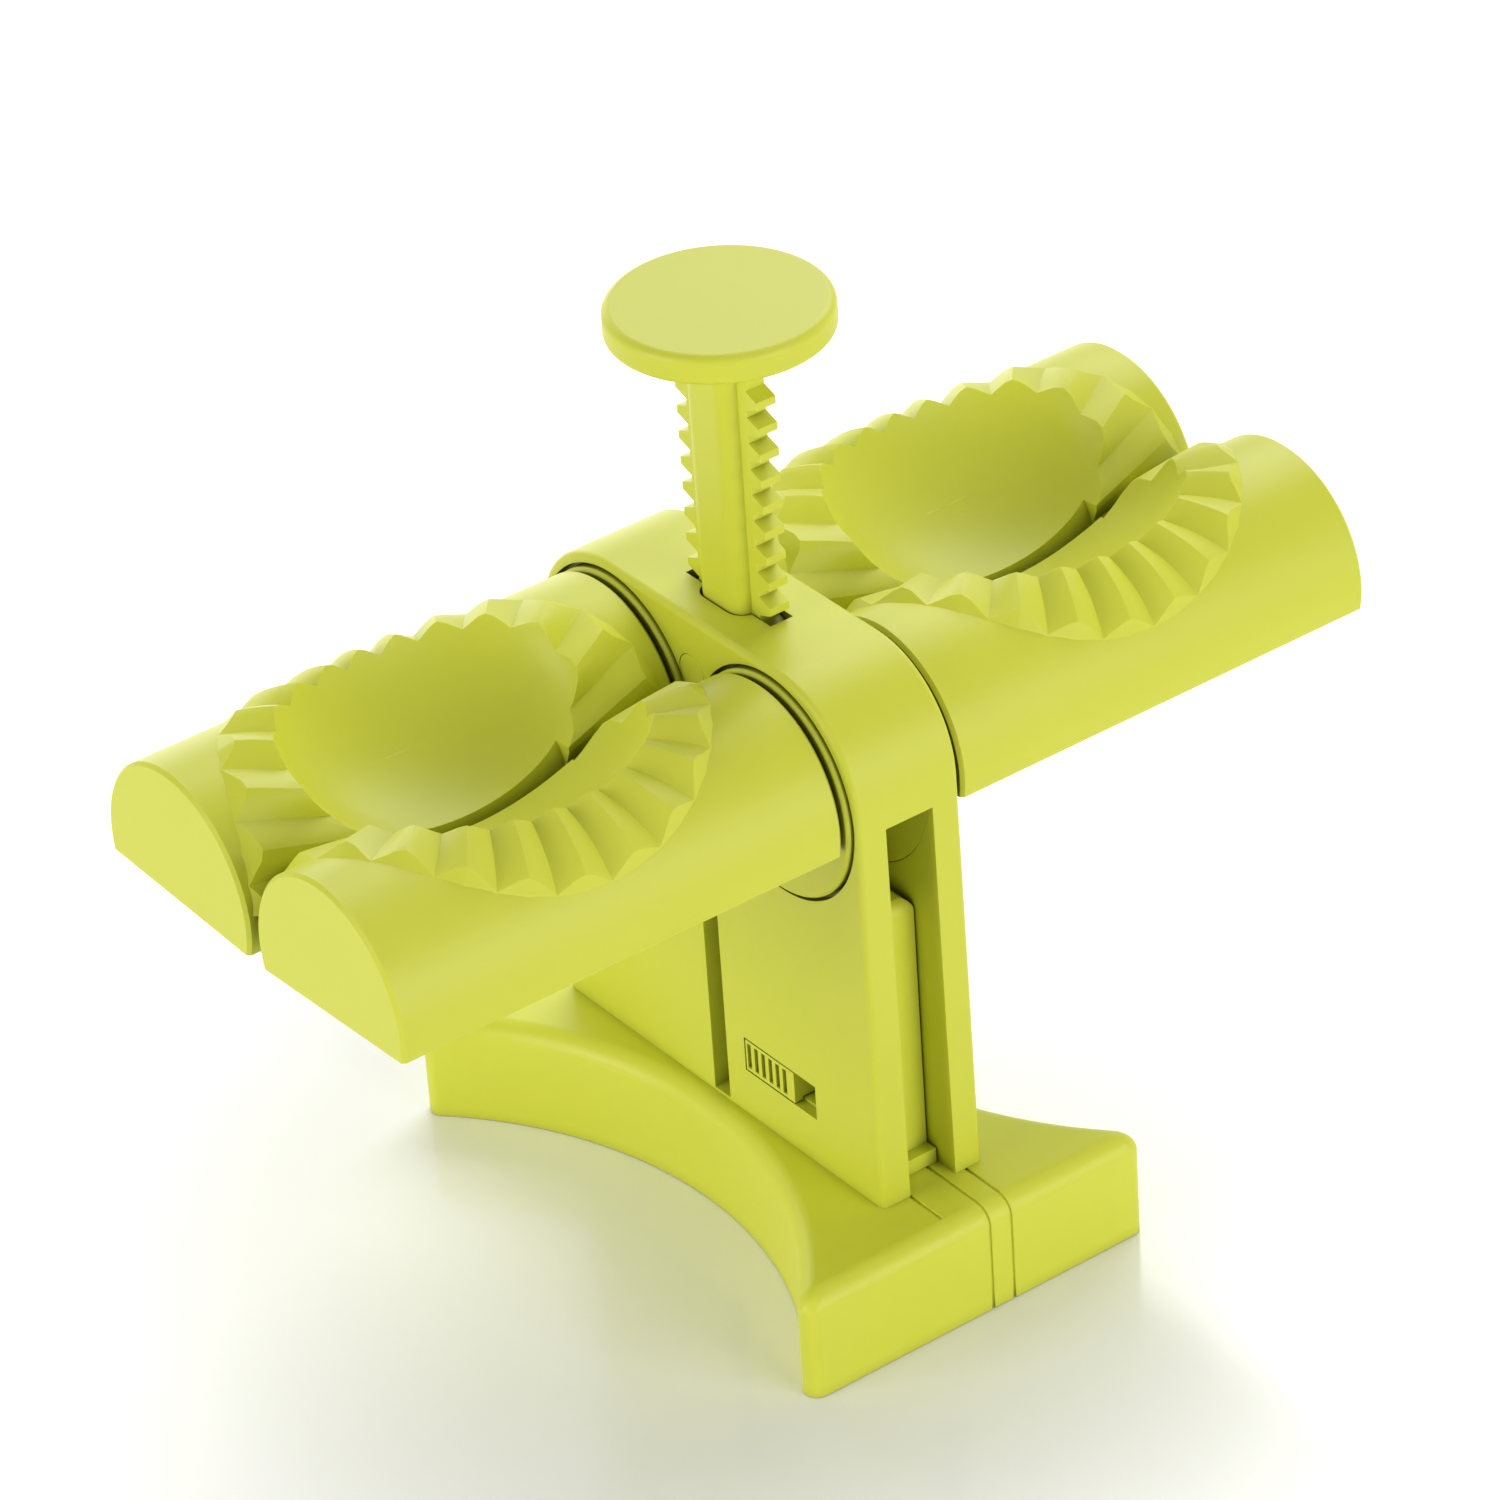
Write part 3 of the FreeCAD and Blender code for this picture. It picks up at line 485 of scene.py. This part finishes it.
@dataclass
class PanScrew:
    """A pan head screw that points up, with a cross recess in its head.

    Args:
        radius: The head's radius.
        length: The length under the head.
    """

    # The head's outline, as shares of its radius and its height, from the middle of its face to its bearing
    HEAD_SHARES: ClassVar[tuple[tuple[float, float], ...]] = (
        (0.0, 1.0), (0.6, 1.0), (0.85, 0.86), (0.97, 0.6), (1.0, 0.3), (1.0, 0.0))

    radius: float
    length: float
    head_height: float = 2.0 * MM
    shank_radius: float = 1.6 * MM
    recess_reach: float = 2.3 * MM
    recess_width: float = 1.1 * MM
    recess_depth: float = 1.1 * MM
    tip_share: float = 0.3
    weld: float = 0.001 * MM
    facets: int = 48
    sharp_angle: float = math.radians(40)

    def build(self) -> bpy.types.Object:
        """Make one screw, with its head's bearing face at the origin.

        Returns:
            The screw, linked to the scene.
        """
        screw = self.turned()
        cross = self.cross()
        recess = screw.modifiers.new("recess", "BOOLEAN")
        recess.operation = "DIFFERENCE"
        recess.solver = "EXACT"
        recess.object = cross
        settle(screw, self.sharp_angle)
        bpy.data.objects.remove(cross)
        return screw

    def turned(self) -> bpy.types.Object:
        """Turn the screw's outline round its axis.

        Returns:
            The screw without its recess.
        """
        outline = [(out * self.radius, -up * self.head_height) for out, up in self.HEAD_SHARES]
        outline += [(self.shank_radius, 0.0), (self.shank_radius, self.length - self.shank_radius),
                    (self.tip_share * self.shank_radius, self.length), (0.0, self.length)]
        shell = bmesh.new()
        points = [shell.verts.new((reach, 0.0, height)) for reach, height in outline]
        edges = [shell.edges.new(pair) for pair in zip(points, points[1:])]
        bmesh.ops.spin(shell, geom=points + edges, cent=(0, 0, 0), axis=(0, 0, 1), angle=2 * math.pi,
                       steps=self.facets, use_merge=True)
        bmesh.ops.remove_doubles(shell, verts=shell.verts, dist=self.weld)
        bmesh.ops.recalc_face_normals(shell, faces=shell.faces)
        return linked("screw", shell)

    def cross(self) -> bpy.types.Object:
        """Make the tool that cuts the recess.

        Returns:
            A plus-shaped prism that stands through the head's face.
        """
        long, short = self.recess_reach, self.recess_width / 2
        arm = [Vector((long, -short, 0.0)), Vector((long, short, 0.0)), Vector((short, short, 0.0))]
        quarter = Quaternion((0, 0, 1), math.pi / 2)
        corners = []
        for _ in range(4):
            corners += arm
            arm = [quarter @ corner for corner in arm]
        shell = bmesh.new()
        base = Vector((0.0, 0.0, -self.head_height - self.recess_depth))
        floor = shell.faces.new([shell.verts.new(corner + base) for corner in corners])
        walls = bmesh.ops.extrude_face_region(shell, geom=[floor])["geom"]
        raised = [item for item in walls if isinstance(item, bmesh.types.BMVert)]
        bmesh.ops.translate(shell, verts=raised, vec=(0, 0, 2 * self.recess_depth))
        bmesh.ops.recalc_face_normals(shell, faces=shell.faces)
        return linked("cross", shell)


def linked(name: str, shell: bmesh.types.BMesh) -> bpy.types.Object:
    """Turn a bmesh into an object in the scene.

    Args:
        name: The object's name.
        shell: The mesh, which is freed.

    Returns:
        The new object.
    """
    mesh = bpy.data.meshes.new(name)
    shell.to_mesh(mesh)
    shell.free()
    item = bpy.data.objects.new(name, mesh)
    bpy.context.scene.collection.objects.link(item)
    return item


class ScrewRow:
    """A Geometry Nodes group that sets copies of a screw along a line."""

    INPUTS: ClassVar[dict[str, str]] = {
        "Screw": "NodeSocketObject", "Count": "NodeSocketInt", "First": "NodeSocketVector",
        "Step": "NodeSocketVector", "Finish": "NodeSocketMaterial"}

    def __init__(self) -> None:
        """Build the node group."""
        self.tree = bpy.data.node_groups.new("screw_row", "GeometryNodeTree")
        self.tree.interface.new_socket("Geometry", in_out="OUTPUT", socket_type="NodeSocketGeometry")
        self.sockets = {}
        for name, kind in self.INPUTS.items():
            socket = self.tree.interface.new_socket(name, in_out="INPUT", socket_type=kind)
            self.sockets[name] = socket.identifier
        given = add_node(self.tree, "NodeGroupInput").outputs
        line = add_node(self.tree, "GeometryNodeMeshLine", {"mode": "OFFSET"}, {
            "Count": given["Count"], "Start Location": given["First"], "Offset": given["Step"]})
        screw = add_node(self.tree, "GeometryNodeObjectInfo", {}, {
            "Object": given["Screw"], "As Instance": True})
        copies = add_node(self.tree, "GeometryNodeInstanceOnPoints", {}, {
            "Points": line.outputs["Mesh"], "Instance": screw.outputs["Geometry"]})
        solid = add_node(self.tree, "GeometryNodeRealizeInstances", {}, {
            "Geometry": copies.outputs["Instances"]})
        coated = add_node(self.tree, "GeometryNodeSetMaterial", {}, {
            "Geometry": solid.outputs["Geometry"], "Material": given["Finish"]})
        add_node(self.tree, "NodeGroupOutput", {}, {"Geometry": coated.outputs["Geometry"]})

    def lay(self, name: str, values: dict[str, Any]) -> bpy.types.Object:
        """Make one row as a plain mesh.

        Args:
            name: The row's name.
            values: The group's inputs, by name.

        Returns:
            The new piece.
        """
        piece = bpy.data.objects.new(name, bpy.data.meshes.new(name))
        bpy.context.scene.collection.objects.link(piece)
        row = piece.modifiers.new("screw_row", "NODES")
        row.node_group = self.tree
        for key, value in values.items():
            row[self.sockets[key]] = value
        settle(piece, PanScrew.sharp_angle)
        return piece


@dataclass
class Base(SubAssembly):
    """The hourglass base and the screws under it."""

    edge: float = 0.3 * MM
    screw_count: int = 2

    def build(self) -> None:
        """Make the base's pieces."""
        self.soften("base_shell", SoftEdges(self.edge), self.palette.base)
        self.screws()

    def screws(self) -> None:
        """Make the base's screws as one row."""
        low, high = box_of("base_screws")
        radius = (high.x - low.x) / 2
        screw = PanScrew(radius, high.z - low.z - PanScrew.head_height).build()
        first = Vector(((low.x + high.x) / 2, low.y + radius, low.z + PanScrew.head_height))
        step = Vector((0.0, (high.y - low.y - 2 * radius) / (self.screw_count - 1), 0.0))
        piece = ScrewRow().lay("base_screws_row", {
            "Screw": screw, "Count": self.screw_count, "First": first, "Step": step,
            "Finish": self.palette.steel})
        bpy.data.objects.remove(screw)
        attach(piece, body_of("base_screws"))
        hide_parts("base_screws")
        report(piece)


@dataclass
class Column(SubAssembly):
    """The forked column, the posts that it stands over, and its lock."""

    edge: float = 0.3 * MM
    plug_edge: float = 0.15 * MM
    post_edge: float = 0.4 * MM
    lock_edge: float = 0.12 * MM

    def build(self) -> None:
        """Make the column's pieces."""
        self.soften("column_housing", SoftEdges(self.edge), self.palette.body)
        self.soften("cheek_plugs", SoftEdges(self.plug_edge), self.palette.body)
        for depth in Depth:
            self.soften(depth.name.lower() + "_guide_post", SoftEdges(self.post_edge), self.palette.body)
        self.soften("lock_slider", SoftEdges(self.lock_edge), self.palette.body)


@dataclass
class Plunger(SubAssembly):
    """The press cap and its toothed rack."""

    cap_edge: float = 0.2 * MM
    tooth_edge: float = 0.22 * MM

    def build(self) -> None:
        """Make the plunger's pieces."""
        self.soften("press_cap", SoftEdges(self.cap_edge), self.palette.body)
        self.soften("rack_bar", SoftEdges(self.tooth_edge), self.palette.body)


@dataclass
class Roller(SubAssembly):
    """One roller: its pinion, discs and screws, and the moulds and covers that it turns.

    Args:
        depth: Which of the two rollers it is.
        axis_offset: Its axis' distance from the column's middle.
        axis_height: Its axis' height.
        radius: The moulds' radius.
        bowl_rise: How far a bowl's centre lies outside that radius.
        bowl_angle: The angle of a bowl above the mould's flat side.
        bowl_half: A bowl's half sizes along the mould, round it and into it.
        mould_middle: The distance of a mould's middle from the column's middle.
        rest_tilt: The roller's own turn at rest.
        reach_slack: How far a point may lie off a surface that it follows.
        round_least: The least cosine between a face of the round side and that side.
        bowl_least: The same for a face of the bowl.
        crimp_edge: The width of the moulds' rounded edges.
        crimp_sharp: The angle from which a mould's edge stays sharp.
        cover_edge: The width of the covers' and discs' rounded edges.
    """

    depth: Depth = Depth.FRONT
    axis_offset: float = 20.9 * MM
    axis_height: float = 92.0 * MM
    radius: float = 19.6 * MM
    bowl_rise: float = 5.0 * MM
    bowl_angle: float = math.radians(61.0)
    bowl_half: tuple[float, float, float] = (27.05 * MM, 25.6 * MM, 15.2 * MM)
    mould_middle: float = 54.25 * MM
    rest_tilt: float = math.radians(2.5)
    reach_slack: float = 0.03 * MM
    round_least: float = 0.8
    bowl_least: float = 0.3
    crimp_edge: float = 0.4 * MM
    crimp_sharp: float = math.radians(46)
    cover_edge: float = 0.2 * MM

    def build(self) -> None:
        """Make the roller's pieces."""
        stem = self.depth.name.lower()
        self.dress(stem + "_pinion", self.palette.body)
        self.dress(stem + "_disc_screws", self.palette.steel)
        for side in Side:
            name = "%s_%s_" % (stem, side.name.lower())
            self.soften(name + "disc", SoftEdges(self.cover_edge), self.palette.body)
            mould = self.soften(name + "mould", SoftEdges(self.crimp_edge, sharp_angle=self.crimp_sharp),
                                self.palette.body)
            self.true_normals(mould.data, side)
            self.soften(name + "cover", SoftEdges(self.cover_edge), self.palette.lid)

    def true_normals(self, mesh: bpy.types.Mesh, side: Side) -> None:
        """Shade a mould's round side and its bowl by the surfaces that they follow.

        Args:
            mesh: The mould's mesh.
            side: The end of the roller that it sits on.
        """
        axis = Vector((0.0, self.depth.value * self.axis_offset, self.axis_height))
        lean = self.bowl_angle + self.rest_tilt
        out = Vector((0.0, -self.depth.value * math.cos(lean), math.sin(lean)))
        along = Vector((1.0, 0.0, 0.0))
        frame_axes = (along, along.cross(out), out)
        bowl = axis + out * (self.radius + self.bowl_rise) + along * side.value * self.mould_middle
        round_way = []
        bowl_way = []
        for vertex in mesh.vertices:
            spoke = vertex.co - axis
            spoke.x = 0.0
            on_round = abs(spoke.length - self.radius) < self.reach_slack
            round_way.append(spoke.normalized() if on_round else None)
            shares = [(vertex.co - bowl).dot(way) / half for way, half in zip(frame_axes, self.bowl_half)]
            on_bowl = abs(Vector(shares).length - 1) * self.bowl_half[2] < self.reach_slack
            slope = Vector()
            for way, share, half in zip(frame_axes, shares, self.bowl_half):
                slope += way * share / half
            bowl_way.append(-slope.normalized() if on_bowl else None)
        normals = [corner.vector.copy() for corner in mesh.corner_normals]
        for ways, least in ((round_way, self.round_least), (bowl_way, self.bowl_least)):
            for face in mesh.polygons:
                if all(ways[at] is not None and ways[at].dot(face.normal) > least for at in face.vertices):
                    for loop in face.loop_indices:
                        normals[loop] = ways[mesh.loops[loop].vertex_index]
        mesh.normals_split_custom_set(normals)


@dataclass(frozen=True)
class Lamp:
    """One soft box: its place round the object in degrees, and its power in watts."""

    name: str
    azimuth: float
    elevation: float
    power: float
    distance: float = 1.4
    side: float = 0.9


LAMPS = (
    Lamp("back_key", 124, 43, 10.8),
    Lamp("back_fill", 165, 14, 4.6),
    Lamp("left_fill", -98, 11, 10.8),
    Lamp("front_fill", 14, 10, 11.4),
)


@dataclass
class Studio:
    """The floor, the lights and the camera."""

    azimuth: float = math.radians(-35.2)
    elevation: float = math.radians(32.8)
    roll: float = math.radians(-4.0)
    distance: float = 1.187
    lens: float = 176.0
    sensor: float = 36.0
    floor_half: float = 6.0
    view_end: float = 24.0
    sky: float = 0.28
    backdrop: float = 1.0

    def build(self) -> None:
        """Make the stage, the lights and the camera."""
        low, high = CAD_BOX
        middle = (low + high) / 2
        self.floor(low.z)
        self.camera(middle)
        self.world()
        for lamp in LAMPS:
            self.hang(lamp, middle)

    def floor(self, height: float) -> None:
        """Lay the floor under the object.

        Args:
            height: The floor's height.
        """
        mesh = bpy.data.meshes.new("floor")
        reach = self.floor_half
        ways = ((-1, -1), (1, -1), (1, 1), (-1, 1))
        corners = [(along * reach, across * reach, height) for along, across in ways]
        mesh.from_pydata(corners, [], [range(len(corners))])
        mesh.materials.append(PaleFloor().material())
        item = bpy.data.objects.new("floor", mesh)
        bpy.context.scene.collection.objects.link(item)

    def towards(self, azimuth: float, elevation: float) -> Vector:
        """A unit vector from the object towards a viewer.

        Args:
            azimuth: The angle round the object from the front, towards +X.
            elevation: The angle above the floor.

        Returns:
            The direction.
        """
        flat = math.cos(elevation)
        return Vector((math.sin(azimuth) * flat, -math.cos(azimuth) * flat, math.sin(elevation)))

    def camera(self, middle: Vector) -> None:
        """Set the camera at the photograph's viewing angle.

        Args:
            middle: The point that it looks at.
        """
        data = bpy.data.cameras.new("camera")
        data.lens = self.lens
        data.sensor_width = self.sensor
        data.clip_end = self.view_end
        item = bpy.data.objects.new("camera", data)
        back = self.towards(self.azimuth, self.elevation)
        item.location = middle + back * self.distance
        item.rotation_mode = "QUATERNION"
        item.rotation_quaternion = (-back).to_track_quat("-Z", "Y") @ Quaternion((0, 0, 1), self.roll)
        bpy.context.scene.collection.objects.link(item)
        bpy.context.scene.camera = item

    def world(self) -> None:
        """Fill the room with even light, before a backdrop that looks white but lights nothing more."""
        item = bpy.data.worlds.new("studio")
        item.use_nodes = True
        tree = item.node_tree
        tree.nodes.clear()
        strength = add_node(tree, "ShaderNodeMapRange", {}, {
            "Value": backdrop_rays(tree), "To Min": self.sky, "To Max": self.backdrop})
        sky = add_node(tree, "ShaderNodeBackground", {}, {
            "Color": (1.0, 1.0, 1.0, 1.0), "Strength": strength.outputs["Result"]})
        add_node(tree, "ShaderNodeOutputWorld", {}, {"Surface": sky.outputs["Background"]})
        bpy.context.scene.world = item

    def hang(self, lamp: Lamp, middle: Vector) -> None:
        """Hang one soft box that faces the object.

        Args:
            lamp: The soft box.
            middle: The point that it faces.
        """
        data = bpy.data.lights.new(lamp.name, "AREA")
        data.size = lamp.side
        data.energy = lamp.power
        item = bpy.data.objects.new(lamp.name, data)
        back = self.towards(math.radians(lamp.azimuth), math.radians(lamp.elevation))
        item.location = middle + back * lamp.distance
        item.rotation_mode = "QUATERNION"
        item.rotation_quaternion = (-back).to_track_quat("-Z", "Y")
        bpy.context.scene.collection.objects.link(item)


def main() -> None:
    """Build the object's looks and its studio."""
    logging.basicConfig(level=logging.INFO, format="%(name)s: %(message)s")
    bpy.context.scene.view_settings.view_transform = "Standard"
    palette = Palette()
    Base(palette).build()
    Column(palette).build()
    Plunger(palette).build()
    for depth in Depth:
        Roller(palette, depth=depth).build()
    Studio().build()


if __name__ == "__main__":
    main()
